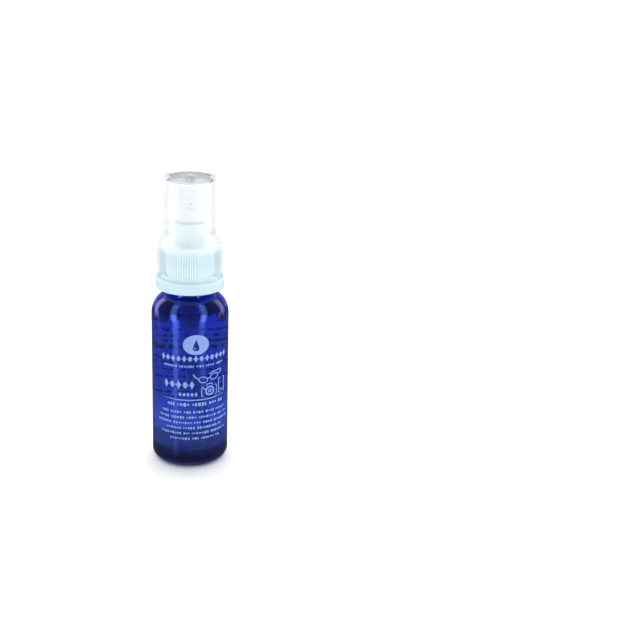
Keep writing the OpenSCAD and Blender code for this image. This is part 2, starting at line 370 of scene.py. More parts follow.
def rim_shade(nt, color, edge, blend=0.45):
    """Painted shade: multiplies a colour by edge where the surface turns away from the viewer, so pale plastic keeps
    its form.
    """
    lw = nt.nodes.new("ShaderNodeLayerWeight")
    lw.inputs["Blend"].default_value = blend
    rp = nt.nodes.new("ShaderNodeMix")
    rp.data_type = "RGBA"
    nt.links.new(lw.outputs["Facing"], rp.inputs[0])
    rp.inputs[6].default_value = (1, 1, 1, 1)
    rp.inputs[7].default_value = (*edge, 1)
    mu = nt.nodes.new("ShaderNodeMix")
    mu.data_type = "RGBA"
    mu.blend_type = "MULTIPLY"
    mu.inputs[0].default_value = 1.0
    nt.links.new(color, mu.inputs[6])
    nt.links.new(rp.outputs[2], mu.inputs[7])
    return mu.outputs[2]


def button_pp():
    """Natural white polypropylene of the finger button; its rim is darkened by painted shade."""
    m, nt, b, out = new_mat("button_pp")
    col = tint(nt, noise(nt, 90, 2), (0.85, 0.875, 0.885), (0.875, 0.895, 0.905))
    # painted shade: the button's colour darkens towards its rim
    nt.links.new(rim_shade(nt, col, (0.70, 0.77, 0.80)), b.inputs["Base Color"])
    nt.links.new(ramp(nt, noise(nt, 260, 3), 0.3, 0.42), b.inputs["Roughness"])
    bump(nt, b, noise(nt, 1100, 3, 0.55), 0.3, 0.012)
    setp(b, sss=0.1, sss_scale=0.0006, sss_radius=(0.9, 1.0, 1.05))
    return m


def closure_pp():
    """White polypropylene painted faintly cyan and dim as painted shade with the bottle's blue cast, painted lighter
    higher up; the grooves between the ribs gather a little painted shade.
    """
    m, nt, b, out = new_mat("white_pp")
    # painted shade: white plastic coloured pale cyan and dim, standing for its shade and the bottle's blue cast
    col = tint(nt, noise(nt, 90, 2), (0.575, 0.745, 0.80), (0.605, 0.775, 0.83))
    # painted light: lighter above the band, lightest near the top
    col = by_height(nt, col, ((0.0712, (1, 1, 1)), (0.0735, (1.24, 1.155, 1.12)), (0.0795, (1.17, 1.09, 1.065)), (0.0850, (1.32, 1.13, 1.07))))
    tc = nt.nodes.new("ShaderNodeTexCoord")
    sp = nt.nodes.new("ShaderNodeSeparateXYZ")
    nt.links.new(tc.outputs["Object"], sp.inputs[0])

    def mth(op, a, c=None):
        n = nt.nodes.new("ShaderNodeMath")
        n.operation = op
        for i, x in enumerate((a, c)):
            if isinstance(x, (int, float)):
                n.inputs[i].default_value = x
            elif x is not None:
                nt.links.new(x, n.inputs[i])
        return n.outputs["Value"]

    # painted shade in the grooves between the ribs and painted light on their crests
    rib = mth("COSINE", mth("MULTIPLY", mth("ARCTAN2", sp.outputs["Y"], sp.outputs["X"]), 76.0))
    rim = mth("SQRT", mth("ADD", mth("MULTIPLY", sp.outputs["X"], sp.outputs["X"]), mth("MULTIPLY", sp.outputs["Y"], sp.outputs["Y"])))
    on = mth("MULTIPLY", mth("GREATER_THAN", rim, 0.0107), mth("LESS_THAN", rim, 0.0113))
    zz = nt.nodes.new("ShaderNodeMapRange")
    nt.links.new(sp.outputs["Z"], zz.inputs["Value"])
    zz.inputs["From Min"].default_value, zz.inputs["From Max"].default_value = 0.0838, 0.0820
    on = mth("MULTIPLY", mth("MULTIPLY", on, zz.outputs["Result"]), mth("GREATER_THAN", sp.outputs["Z"], 0.0722))
    shade = mth("ADD", mth("MULTIPLY", mth("MULTIPLY", rib, on), 0.10), 1.0)
    mu = nt.nodes.new("ShaderNodeMix")
    mu.data_type = "RGBA"
    mu.blend_type = "MULTIPLY"
    mu.inputs[0].default_value = 1.0
    nt.links.new(col, mu.inputs[6])
    nt.links.new(shade, mu.inputs[7])
    # painted shade at the edges that turn away
    nt.links.new(rim_shade(nt, mu.outputs[2], (0.80, 0.86, 0.88), 0.35), b.inputs["Base Color"])
    nt.links.new(ramp(nt, noise(nt, 260, 3), 0.3, 0.42), b.inputs["Roughness"])
    bump(nt, b, noise(nt, 1100, 3, 0.55), 0.3, 0.012)
    setp(b, sss=0.12, sss_scale=0.0006, sss_radius=(0.8, 1.0, 1.1))
    return m


def pet_blue():
    m, nt, b, out = new_mat("cobalt_pet")
    drift = tint(nt, noise(nt, 35, 2, 0.5, (1, 1, 0.25)), (0.062, 0.122, 0.48), (0.071, 0.136, 0.515))
    # painted light and shade by height: darker at the foot (painted shade), lighter low on the barrel up to about 36 mm
    # (painted light), darker and bluer on the shoulder (painted shade)
    nt.links.new(by_height(nt, drift, ((0.0056, (0.98, 0.66, 0.54)), (0.0084, (2.1, 1.82, 1.2)), (0.036, (1, 1, 1)), (0.050, (1, 1, 1)), (0.057, (0.84, 0.84, 1.17)), (0.068, (0.8, 0.8, 1.02)))), b.inputs["Base Color"])
    nt.links.new(ramp(nt, noise(nt, 140, 3), 0.012, 0.035), b.inputs["Roughness"])
    bump(nt, b, noise(nt, 60, 2, 0.4, (1, 1, 0.3)), 0.12, 0.05)
    setp(b, trans=1.0, ior=1.57)
    shadow_pass(nt, b, out, (0.22, 0.27, 0.50))
    return m


def liquid():
    m, nt, b, out = new_mat("cleaning_liquid")
    nt.links.new(tint(nt, noise(nt, 30, 1), (0.93, 0.965, 1.0), (0.95, 0.975, 1.0)), b.inputs["Base Color"])
    setp(b, trans=1.0, ior=1.333, rough=0.0)
    shadow_pass(nt, b, out, (0.96, 0.98, 1.0))
    return m


def clear_pp():
    m, nt, b, out = new_mat("clear_pp")
    nt.links.new(tint(nt, noise(nt, 60, 2), (0.985, 0.993, 0.996), (0.995, 0.998, 1.0)), b.inputs["Base Color"])
    nt.links.new(ramp(nt, noise(nt, 220, 3), 0.02, 0.06), b.inputs["Roughness"])
    bump(nt, b, noise(nt, 120, 2, 0.5, (1, 1, 0.35)), 0.04, 0.03)
    setp(b, trans=1.0, ior=1.24)
    shadow_pass(nt, b, out, (0.985, 0.99, 0.99), 0.68)
    return m


def frosted_pp_painted_grey():
    """The recessed panel in the cap's top: the same plastic, spark-eroded in the mould; its grey-lilac tint is painted
    shade standing for the dark surroundings seen refracted through it.
    """
    m, nt, b, out = new_mat("frosted_pp_painted_grey")
    # painted shade: grey-lilac tint for the dark surroundings seen through the top
    nt.links.new(tint(nt, noise(nt, 700, 4, 0.6), (0.505, 0.50, 0.555), (0.565, 0.56, 0.62)), b.inputs["Base Color"])
    nt.links.new(ramp(nt, noise(nt, 900, 3), 0.22, 0.4), b.inputs["Roughness"])
    bump(nt, b, noise(nt, 2400, 3, 0.6), 0.4, 0.02)
    setp(b, trans=1.0, ior=1.3)
    shadow_pass(nt, b, out, (0.9, 0.9, 0.92))
    return m


def natural_pe():
    m, nt, b, out = new_mat("natural_pe")
    nt.links.new(tint(nt, noise(nt, 70, 2), (0.86, 0.91, 0.95), (0.93, 0.96, 0.98)), b.inputs["Base Color"])
    nt.links.new(ramp(nt, noise(nt, 300, 2, 0.5, (1, 1, 0.1)), 0.12, 0.24), b.inputs["Roughness"])
    bump(nt, b, noise(nt, 500, 2, 0.5, (1, 1, 0.08)), 0.15, 0.02)
    setp(b, trans=0.86, ior=1.42)
    shadow_pass(nt, b, out, (0.8, 0.83, 0.86))
    return m


def steel(name, stretch=(1, 1, 1)):
    m, nt, b, out = new_mat(name)
    nt.links.new(tint(nt, noise(nt, 300, 3, 0.5, stretch), (0.58, 0.58, 0.60), (0.72, 0.72, 0.73)), b.inputs["Base Color"])
    nt.links.new(ramp(nt, noise(nt, 900, 3, 0.5, stretch), 0.16, 0.32), b.inputs["Roughness"])
    bump(nt, b, noise(nt, 2500, 2, 0.5, stretch), 0.1, 0.01)
    setp(b, metal=1.0)
    return m


def ink(name, c0, c1):
    m, nt, b, out = new_mat(name)
    nt.links.new(tint(nt, noise(nt, 2600, 4, 0.6), c0, c1, 0.35, 0.6), b.inputs["Base Color"])
    nt.links.new(ramp(nt, noise(nt, 1200, 3), 0.38, 0.55), b.inputs["Roughness"])
    bump(nt, b, noise(nt, 3000, 3), 0.2, 0.01)
    return m


M_PET = pet_blue()
M_LIQUID = liquid()
M_CLEAR = clear_pp()
M_FROST_PAINTED_GREY = frosted_pp_painted_grey()
M_WHITE = closure_pp()
M_BUTTON = button_pp()
M_NATURAL = plastic("natural_pp", (0.78, 0.83, 0.86), (0.85, 0.89, 0.91), (0.32, 0.45), 800, 0.012, 0.3, sss=0.2, sss_scale=0.001, sss_radius=(1, 1, 1))
M_ACETAL = plastic("white_acetal", (0.84, 0.85, 0.86), (0.89, 0.9, 0.9), (0.25, 0.36), 900, 0.01, 0.25)
M_PISTON = plastic("piston_pe", (0.7, 0.76, 0.82), (0.78, 0.83, 0.88), (0.35, 0.5), 700, 0.012, 0.3)
M_GASKET = plastic("foam_gasket", (0.80, 0.80, 0.77), (0.88, 0.88, 0.86), (0.7, 0.9), 3500, 0.05, 0.7)
M_TUBE = natural_pe()
M_SPRING = steel("spring_wire", (1, 1, 3))
M_BALL = steel("steel_ball")
M_INK = ink("front_ink", (0.20, 0.32, 0.66), (0.245, 0.38, 0.74))
M_INK_BACK = ink("back_ink", (0.19, 0.30, 0.62), (0.235, 0.36, 0.70))

# ------------------------------------------------------------------ bottle

R = BODY_R - 0.02
HEEL, WALLTOP, SHR, T = 3.5, 58.0, 8.7, 0.8
NECK, BORE, CREST, PITCH = 8.75, 6.6, 9.9, 3.175
LIFT = 1.0  # a blown foot is thicker than the wall
sh_cx = R - SHR
dome = (8.4**2 + 1.8**2) / 3.6
dome_z = 1.8 - dome
sh_a = math.degrees(math.acos((NECK + 0.3 - sh_cx) / SHR))
sh_top = WALLTOP + SHR * math.sin(math.radians(sh_a))


def thread_height(th, z, start, turns, width, crest, lead=PITCH):
    """Height of a helical ridge over the neck at angles th and height z."""
    h = np.zeros_like(th)
    total = TAU * turns
    for k in range(-1, int(turns) + 2):
        a = th + TAU * k
        inside = (a >= 0) & (a <= total)
        d = np.abs(z - (start + lead * a / TAU))
        fade = np.clip(np.minimum(a, total - a) / math.radians(32), 0, 1)
        fade = fade * fade * (3 - 2 * fade)
        flank = np.clip((width / 2 + 0.18 - d) / 0.36, 0, 1)
        h = np.maximum(h, np.where(inside, crest * fade * flank * flank * (3 - 2 * flank), 0))
    return h


def wave(th, z, amp):
    """Slow drift in the thickness of the blown wall."""
    return amp * (
        0.5 * np.sin(2 * th + 0.045 * z + 0.7)
        + 0.3 * np.sin(3 * th - 0.08 * z + 2.1)
        + 0.22 * np.sin(5 * th + 0.13 * z)
        + 0.2 * np.sin(7 * th - 0.21 * z + 1.3)
    )


outer = [(0.0, 1.25), (0.45, 1.25), (0.7, 1.32), (0.85, 1.75)]
outer += [p for p in arc(0, dome_z, dome, 90, math.degrees(math.acos(8.4 / dome)), 14)[1:-1] if p[0] > 1.2]
outer += [(8.15, 0.07), (8.4, 0.02), (8.75, 0.0), (9.7, 0.0)]
outer += arc(R - HEEL, HEEL, HEEL, -90, 0, 20)
outer += line((R, HEEL), (R, WALLTOP), 26)
n_wall_lo = len(outer)
outer += arc(sh_cx, WALLTOP, SHR, 0, sh_a - 3, 30)
outer += [(NECK + 0.12, sh_top + 0.12), (NECK, sh_top + 0.45)]
outer += [(NECK, sh_top + 1.0), (NECK, 68.6), (NECK + 0.12, 68.75), (NECK + 0.42, 68.95), (NECK + 0.45, 69.2), (NECK + 0.42, 69.45), (NECK + 0.12, 69.65), (NECK, 69.8)]
thread_from = len(outer)
outer += [(NECK, 71.2 + 0.14 * i) for i in range(60)]
thread_to = len(outer)
outer += [(NECK, 80.15), (NECK - 0.08, 80.4), (NECK - 0.3, NECK_TOP)]
outer += [(BORE + 0.25, NECK_TOP), (BORE + 0.05, NECK_TOP - 0.12)]
n_outer = len(outer)
inner = [(BORE, NECK_TOP - 0.4), (BORE, 76.0), (BORE, 71.0), (BORE, 67.6), (BORE + 0.12, 66.8)]
inner += arc(sh_cx, WALLTOP, SHR - T, math.degrees(math.acos((BORE + 0.5 - sh_cx) / (SHR - T))), 0, 24)
inner += line((R - T, WALLTOP), (R - T, HEEL + LIFT), 26)
inner += arc(R - HEEL, HEEL + LIFT, HEEL - T, 0, -90, 16)
a_in = math.degrees(math.asin((T + LIFT + 0.02 - dome_z) / (dome + T + LIFT)))
inner += arc(0, dome_z, dome + T + LIFT, a_in, 90, 14)


def bottle_warp(i, th, r, z):
    if thread_from <= i < thread_to:
        r = r + thread_height(th, z, 72.9, 1.5, 1.15, CREST - NECK)
    elif i >= n_outer:
        z0 = z[0]
        if HEEL - 2 < z0 < 66 and r[0] > 7:
            edge = min(1.0, (z0 - (HEEL - 2)) / 6, (66 - z0) / 6)
            r = r + wave(th, z0, 0.05 * edge)
    return r, z


make("bottle_shell", lathe(outer + inner, 256, bottle_warp), M_PET, "bottle", ["bottle"], sharp=40)

# ------------------------------------------------------------------ liquid

G = -0.02  # reaches a hair into the wall, so that no film of air shows between
liq = arc(0, dome_z, dome + T + LIFT + G, 90, math.degrees(math.asin((T + LIFT + G - dome_z) / (dome + T + LIFT + G))), 14)
liq += arc(R - HEEL, HEEL + LIFT, HEEL - T - G, -90, 0, 16)
liq += line((R - T - G, HEEL + LIFT), (R - T - G, WALLTOP), 26)
a_fill = math.degrees(math.asin((FILL - WALLTOP) / (SHR - T - G)))
liq += arc(sh_cx, WALLTOP, SHR - T - G, 0, a_fill + 2.2, 8)
r_fill = liq[-1][0]
z_fill = liq[-1][1]
# meniscus: climbs a little at the wall, flat in the middle, climbs round the pump's socket
liq += [(r_fill - 0.25, FILL + 0.02), (r_fill - 0.6, FILL - 0.12), (r_fill - 1.2, FILL - 0.2), (7.5, FILL - 0.22), (4.4, FILL - 0.2), (3.4, FILL - 0.1), (2.95, FILL + 0.05), (2.6, FILL + 0.2), (0, FILL + 0.2)]


def liquid_warp(i, th, r, z):
    z0 = z[0]
    if HEEL - 2 < z0 < 60 and r[0] > 13:
        edge = min(1.0, (z0 - (HEEL - 2)) / 6, (66 - z0) / 6)
        r = r + wave(th, z0, 0.05 * edge)
    return r, z


make("cleaning_fluid_body", lathe(liq, 192, liquid_warp), M_LIQUID, "bottle", ["cleaning_fluid"], sharp=60)

# ------------------------------------------------------------------ print on the bottle

R_IN, R_OUT = R - 0.006, BODY_R - 0.003
U0 = 2.1  # the front print sits a little to the right of the middle


class Ink:
    """Flat shapes in (u, v) millimetres laid round the barrel. u runs to the right seen from outside."""

    def __init__(self, facing):
        self.verts, self.faces, self.facing = [], [], facing

    def _at(self, u, v, r):
        a = u / R
        x, y = r * math.sin(a), -r * math.cos(a)
        return (x * self.facing, y * self.facing, v)

    def loops(self, rows):
        """rows: a list of rings; each ring is (u, v) pairs of equal count, forming a grid. Builds a closed thin solid."""
        nr, nc = len(rows), len(rows[0])
        s = len(self.verts)
        for rad in (R_OUT, R_IN):
            for row in rows:
                for u, v in row:
                    self.verts.append(self._at(u, v, rad))
        top = lambda i, j: s + i * nc + j
        bot = lambda i, j: s + nr * nc + i * nc + j
        f = self.faces
        for i in range(nr - 1):
            for j in range(nc - 1):
                f.append((top(i, j), top(i + 1, j), top(i + 1, j + 1), top(i, j + 1)))
                f.append((bot(i, j), bot(i, j + 1), bot(i + 1, j + 1), bot(i + 1, j)))
        for j in range(nc - 1):
            f.append((top(0, j), top(0, j + 1), bot(0, j + 1), bot(0, j)))
            f.append((top(nr - 1, j), bot(nr - 1, j), bot(nr - 1, j + 1), top(nr - 1, j + 1)))
        for i in range(nr - 1):
            f.append((top(i, 0), bot(i, 0), bot(i + 1, 0), top(i + 1, 0)))
            f.append((top(i, nc - 1), top(i + 1, nc - 1), bot(i + 1, nc - 1), bot(i, nc - 1)))

    def bar(self, u0, u1, v0, v1, corner=0.12):
        """A rounded rectangle."""
        w, h = u1 - u0, v1 - v0
        c = min(corner, w * 0.45, h * 0.45)
        us = [u0, u0 + c * 0.3, u0 + c]
        n = max(1, int(w / 1.2))
        us += [u0 + c + (w - 2 * c) * i / n for i in range(1, n)]
        us += [u1 - c, u1 - c * 0.3, u1]
        rows = []
        for u in us:
            d = min(u - u0, u1 - u)
            k = c - math.sqrt(max(0.0, c * c - (c - d) ** 2)) if d < c else 0.0
            k = min(k, h * 0.42)
            rows.append([(u, v0 + k), (u, v1 - k)])
        self.loops(rows)

    def stroke(self, pts, width, closed=False, taper=0.0):
        """A band along a path."""
        n = len(pts)
        rows = []
        for i, p in enumerate(pts):
            if closed:
                a, b = pts[(i - 1) % n], pts[(i + 1) % n]
            else:
                a, b = pts[max(i - 1, 0)], pts[min(i + 1, n - 1)]
            dx, dy = b[0] - a[0], b[1] - a[1]
            m = math.hypot(dx, dy) or 1
            w = width / 2
            if taper and not closed:
                t = min(i, n - 1 - i) / max(1, (n - 1) * taper)
                w *= 0.25 + 0.75 * min(1, t)
            nx, ny = -dy / m * w, dx / m * w
            rows.append([(p[0] - nx, p[1] - ny), (p[0] + nx, p[1] + ny)])
        if closed:
            nr = len(rows)
            s = len(self.verts)
            for rad in (R_OUT, R_IN):
                for row in rows:
                    for u, v in row:
                        self.verts.append(self._at(u, v, rad))
            for i in range(nr):
                j = (i + 1) % nr
                a0, a1, b0, b1 = s + 2 * i, s + 2 * i + 1, s + 2 * j, s + 2 * j + 1
                k = 2 * nr
                self.faces += [
                    (a0, b0, b1, a1),
                    (a0 + k, a1 + k, b1 + k, b0 + k),
                    (a0, a0 + k, b0 + k, b0),
                    (a1, b1, b1 + k, a1 + k),
                ]
        else:
            self.loops(rows)

    def blob(self, cu, cv, ru, rv, power=0.5, m=10):
        """A filled disc (power 0.5) or lozenge (power 1)."""
        rows = []
        for k in range(m + 1):
            x = -math.cos(math.pi * k / m) if power < 1 else 2 * k / m - 1
            half = max(0.03, rv * (1 - x * x) ** 0.5 if power < 1 else rv * (1 - abs(x)))
            rows.append([(cu + ru * x, cv - half), (cu + ru * x, cv + half)])
        self.loops(rows)

    def ticks(self, rng, u0, u1, v0, h, pitch):
        """A line of small filled blocks, discs and lozenges in uneven groups."""
        u = u0
        left = rng.randint(3, 9)
        while u < u1 - 0.5 * pitch:
            w = pitch * rng.choice((0.5, 0.6, 0.7, 0.8))
            kind = rng.choice(("block", "block", "low", "disc", "lozenge"))
            if kind == "block":
                self.bar(u, u + w, v0 + 0.08 * h, v0 + 0.92 * h, 0.16 * h)
            elif kind == "low":
                self.bar(u, u + w, v0 + 0.3 * h, v0 + 0.74 * h, 0.16 * h)
            elif kind == "disc":
                self.blob(u + w / 2, v0 + h / 2, w / 2, min(w / 2, h / 2) * 1.1)
            else:
                self.blob(u + w / 2, v0 + h / 2, w / 2, h / 2, 1, 6)
            u += w + pitch * 0.26
            left -= 1
            if left <= 0:
                u += pitch * 0.6
                left = rng.randint(3, 9)

    def ornaments(self, u0, u1, v0, h, width):
        """A border of filled lozenges and discs in turn, with a small dot between each two."""
        n = max(1, round((u1 - u0) / width))
        w = (u1 - u0) / n
        mid = v0 + h / 2
        for i in range(n):
            cu = u0 + (i + 0.5) * w
            if i % 2 == 0:
                self.blob(cu, mid, w * 0.36, h / 2, 1, 8)
            else:
                self.blob(cu, mid, min(w * 0.33, h * 0.36), h * 0.36)
            if i < n - 1:
                self.blob(cu + w / 2, mid, w * 0.075, w * 0.075, 0.5, 6)

    def fill(self, outer, inner):
        """The area between two closed outlines that have the same number of points."""
        n = len(outer)
        steps = 4
        s = len(self.verts)
        m = steps + 1
        for rad in (R_OUT, R_IN):
            for (a, b), (c, d) in zip(outer, inner):
                for k in range(m):
                    t = k / steps
                    self.verts.append(self._at(a + (c - a) * t, b + (d - b) * t, rad))
        off = n * m
        for i in range(n):
            j = (i + 1) % n
            for k in range(steps):
                p, q, r_, t_ = s + i * m + k, s + j * m + k, s + j * m + k + 1, s + i * m + k + 1
                self.faces.append((p, q, r_, t_))
                self.faces.append((p + off, t_ + off, r_ + off, q + off))
            p, q = s + i * m, s + j * m
            self.faces.append((p, p + off, q + off, q))
            p, q = p + steps, q + steps
            self.faces.append((p, q, q + off, p + off))

    def done(self, name, mat):
        return make(name, (self.verts, self.faces), mat, "bottle", [], sharp=30)


def ring_pts(cu, cv, ru, rv, n=40, a0=0.0, a1=TAU, rot=0.0, closed=True):
    out = []
    for i in range(n if closed else n + 1):
        a = a0 + (a1 - a0) * i / n
        x, y = ru * math.cos(a), rv * math.sin(a)
        out.append((cu + x * math.cos(rot) - y * math.sin(rot), cv + x * math.sin(rot) + y * math.cos(rot)))
    return out


def poly_path(points, n=4):
    out = []
    for a, b in zip(points[:-1], points[1:]):
        out += [(a[0] + (b[0] - a[0]) * k / n, a[1] + (b[1] - a[1]) * k / n) for k in range(n)]
    return out + [points[-1]]


def rounded_rect(u0, u1, v0, v1, c, n=5):
    out = []
    for cx, cy, a in ((u1 - c, v1 - c, 0), (u0 + c, v1 - c, 90), (u0 + c, v0 + c, 180), (u1 - c, v0 + c, 270)):
        out += [(cx + c * math.cos(math.radians(a + 90 * k / n)), cy + c * math.sin(math.radians(a + 90 * k / n))) for k in range(n + 1)]
    return out


def front_print():
    rng = random.Random(11)
    p = Ink(1)
    # emblem: an oval with a drop left clear in it, and a short gleam beside the drop
    cu, cv = U0 + 0.1, 49.9
    n = 72
    oval = ring_pts(cu, cv, 4.9, 3.85, n, a0=math.pi / 2, a1=math.pi / 2 + TAU)
    drop = []
    for i in range(n):
        a = TAU * i / n
        w = math.sin(a / 2) ** 1.6
        drop.append((cu - 1.75 * math.sin(a) * w, cv - 0.45 + (2.6 if math.cos(a) > 0 else 1.9) * math.cos(a)))
    p.fill(oval, drop)
    p.stroke(ring_pts(cu, cv - 0.55, 0.85, 0.95, 10, math.radians(200), math.radians(275), closed=False), 0.3)
    # main row, and a fine row under it
    p.ornaments(U0 - 13.9, U0 + 13.9, 43.1, 2.7, 2.14)
    p.ticks(rng, U0 - 12.6, U0 + 12.6, 40.9, 1.15, 1.0)
    # large rows on the left
    p.ornaments(U0 - 12.7, U0 - 0.2, 32.4, 3.5, 2.5)
    p.ornaments(U0 - 6.6, U0 + 0.8, 29.3, 2.0, 1.48)
    # underline, thin at the ends
    p.stroke(poly_path([(U0 - 12.6, 28.35), (U0 - 6, 28.1), (U0, 28.05), (U0 + 6, 28.1), (U0 + 12.8, 28.4)], 8), 0.42, taper=0.25)
    # spectacles: two lenses, bridge, arms
    a = math.radians(-12)
    p.stroke(ring_pts(U0 + 2.8, 35.9, 1.75, 1.15, 26, rot=a), 0.34, closed=True)
    p.stroke(ring_pts(U0 + 7.4, 36.6, 1.75, 1.15, 26, rot=-a), 0.34, closed=True)
    p.stroke(poly_path([(U0 + 4.5, 36.1), (U0 + 5.05, 36.5), (U0 + 5.65, 36.5)], 4), 0.34)
    p.stroke(poly_path([(U0 + 1.1, 36.1), (U0 - 0.3, 37.2), (U0 - 1.2, 38.6)], 5), 0.5, taper=0.3)
    p.stroke(poly_path([(U0 + 9.1, 36.9), (U0 + 10.9, 38.0), (U0 + 10.6, 38.9), (U0 + 6.6, 38.5), (U0 + 5.3, 37.9)], 5), 0.36)
    # camera
    p.stroke(rounded_rect(U0 + 2.2, U0 + 8.6, 29.2, 33.1, 0.6), 0.36, closed=True)
    p.stroke(poly_path([(U0 + 4.0, 33.2), (U0 + 4.5, 34.0), (U0 + 6.4, 34.0), (U0 + 6.9, 33.2)], 3), 0.36)
    p.stroke(ring_pts(U0 + 5.5, 31.2, 1.6, 1.6, 30), 0.62, closed=True)
    p.stroke(ring_pts(U0 + 5.5, 31.2, 0.55, 0.55, 16), 0.4, closed=True)
    p.bar(U0 + 2.9, U0 + 3.7, 32.0, 32.5, 0.1)
    # phone
    p.stroke(rounded_rect(U0 + 9.7, U0 + 12.9, 29.4, 35.2, 0.5), 0.4, closed=True)
    p.bar(U0 + 10.9, U0 + 11.7, 30.0, 30.25, 0.1)
    p.bar(U0 + 9.95, U0 + 12.65, 30.5, 30.7, 0.05)
    # one mid line and six fine ones
    p.ticks(rng, U0 - 11.0, U0 + 11.4, 25.4, 1.7, 1.3)
    for v, half in zip((22.6, 20.45, 18.3, 16.15, 14.0, 11.85), (13.3, 15.0, 15.6, 11.5, 14.0, 10.0)):
        p.ticks(rng, U0 - half, U0 + half, v, 1.2, 1.05)
    return p.done("front_print", M_INK)


def back_print():
    rng = random.Random(29)
    p = Ink(-1)
    for v, h, half, pitch in (
        (55.4, 2.3, 11.5, 2.1),
        (50.9, 2.4, 13.0, 2.2),
        (47.6, 1.7, 10.5, 1.6),
        (45.3, 1.5, 12.5, 1.5),
        (43.1, 1.6, 12.8, 1.5),
        (40.4, 2.0, 13.4, 1.9),
        (36.6, 1.1, 12.2, 1.1),
        (34.1, 1.6, 12.8, 1.5),
        (31.3, 1.5, 11.0, 1.4),
        (28.6, 1.1, 12.2, 1.1),
        (26.5, 1.1, 12.6, 1.1),
        (24.4, 1.1, 11.8, 1.1),
        (22.3, 1.1, 12.5, 1.1),
        (20.2, 1.1, 9.5, 1.1),
    ):
        p.ticks(rng, -half, half, v, h, pitch)
    return p.done("back_print", M_INK_BACK)


front_print()
back_print()

# ------------------------------------------------------------------ closure

BT = BAND_Z + 4.2
RIB_N, RIB_R, ROOT_R = 76, 11.12, 10.84
DECK = 84.4
CZ = DECK - 2.2
cl = [(10.02, BAND_Z + 0.35), (10.35, BAND_Z)]
cl += arc(12.7 - 0.75, BAND_Z + 0.75, 0.75, -90, 0, 8)
cl += [(12.7, BAND_Z + 1.6), (12.7, BT - 1.3)]
cl += arc(12.7 - 0.9, BT - 0.9, 0.9, 0, 90, 8)
cl += [(11.35, BT), (11.2, BT + 0.02)]
rib_from = len(cl)
cl += [(11.12, BT + 0.1), (11.12, BT + 0.35)] + [(11.12, BT + 0.6 + (CZ - BT - 1.1) * i / 8) for i in range(9)] + [(11.12, CZ - 0.28), (11.13, CZ - 0.08)]
rib_to = len(cl)
cl += arc(11.15 - 2.2, CZ, 2.2, 1, 89, 18)
FADE = 8  # the ribs run out over the first rings of the round
cl += [(7.6, DECK), (7.05, DECK + 0.02), (6.75, DECK + 0.12), (6.56, DECK + 0.35), (6.5, DECK + 0.8), (6.5, DECK + 3), (6.49, CHIM_TOP - 2)]
cl += arc(6.49 - 0.35, CHIM_TOP - 0.35, 0.35, 0, 90, 6)
cl += [(5.9, CHIM_TOP), (5.76, CHIM_TOP - 0.06), (5.7, CHIM_TOP - 0.25), (5.7, CHIM_TOP - 4), (5.7, 84.0), (5.7, 82.8)]
cl += [(9.7, 82.8), (9.95, 82.7), (10.0, 82.4), (10.0, 78.0), (10.0, 73.0), (10.0, BAND_Z + 1)]
rib_blend = np.concatenate(([0.25, 0.8], np.ones(11)))


def closure_warp(i, th, r, z):
    w = 0.0
    if rib_from <= i < rib_to:
        w = rib_blend[i - rib_from]
    elif rib_to <= i < rib_to + FADE:
        w = 1 - (i - rib_to + 1) / (FADE + 1)
    if w:
        c = 0.5 + 0.5 * np.cos(RIB_N * th)
        ridge = c * c * (3 - 2 * c)
        r = r - (RIB_R - ROOT_R) * w * (1 - ridge)
    return r, z


shell = lathe(cl, RIB_N * 8, closure_warp)


def ridge_bar(r_base, r_tip, w_base, w_tip, start, turns, lead=PITCH, per=64):
    verts, faces = [], []
    n = int(turns * per)
    for i in range(n + 1):
        a = TAU * turns * i / n
        z = start + lead * turns * i / n
        f = min(1.0, min(i, n - i) / 6)
        f = f * f * (3 - 2 * f)
        rt = r_base + (r_tip - r_base) * (0.3 + 0.7 * f)
        for r, dz in ((r_base, -w_base / 2), (rt, -w_tip / 2), (rt, w_tip / 2), (r_base, w_base / 2)):
            verts.append((r * math.cos(a), r * math.sin(a), z + dz))
    for i in range(n):
        for k in range(4):
            j = (k + 1) % 4
            faces.append((4 * i + k, 4 * i + j, 4 * i + 4 + j, 4 * i + 4 + k))
    faces.append((3, 2, 1, 0))
    faces.append((4 * n, 4 * n + 1, 4 * n + 2, 4 * n + 3))
    return verts, faces


make("closure_shell", join(shell, ridge_bar(10.2, 8.97, 1.15, 0.55, 71.8, 1.2)), M_WHITE, "closure", ["closure"], sharp=38)

# ------------------------------------------------------------------ overcap

HW = 0.9
TR, LR, SR = 9.25, 9.8, 12.25
zb = BT + 0.05
oc = [(SR - 0.45, zb), (SR - 0.12, zb), (SR, zb + 0.12), (SR, zb + 0.8)]
oc += line((SR, zb + 0.8), (SR - 0.05, 84.5), 6)
oc += step((SR - 0.05, 84.7), (LR, 88.1), 22)
oc += line((LR, 88.1), (TR, TOP - 0.95), 8)
oc += arc(TR - 0.92, TOP - 0.92, 0.92, 2, 90, 14)
oc += [(8.1, TOP), (7.95, TOP - 0.03), (7.87, TOP - 0.12), (7.82, TOP - 0.45), (7.74, TOP - 0.56), (7.6, TOP - 0.6)]
oc += [(6.0, TOP - 0.6), (4.0, TOP - 0.6), (2.2, TOP - 0.6), (2.0, TOP - 0.62), (1.9, TOP - 0.7), (1.82, TOP - 1.0), (1.7, TOP - 1.14), (1.4, TOP - 1.2), (0.62, TOP - 1.2), (0.5, TOP - 1.12), (0.3, TOP - 1.02), (0, TOP - 1.0)]
oc_in = [(0, TOP - 2.0), (3, TOP - 2.0), (6.5, TOP - 2.0)]
oc_in += arc(TR - HW - 0.75, TOP - 2.75, 0.75, 88, 2, 8)
oc_in += line((TR - HW, TOP - 2.8), (LR - HW, 87.4), 8)
oc_in += step((LR - HW, 87.4), (SR - HW - 0.05, 83.9), 22)
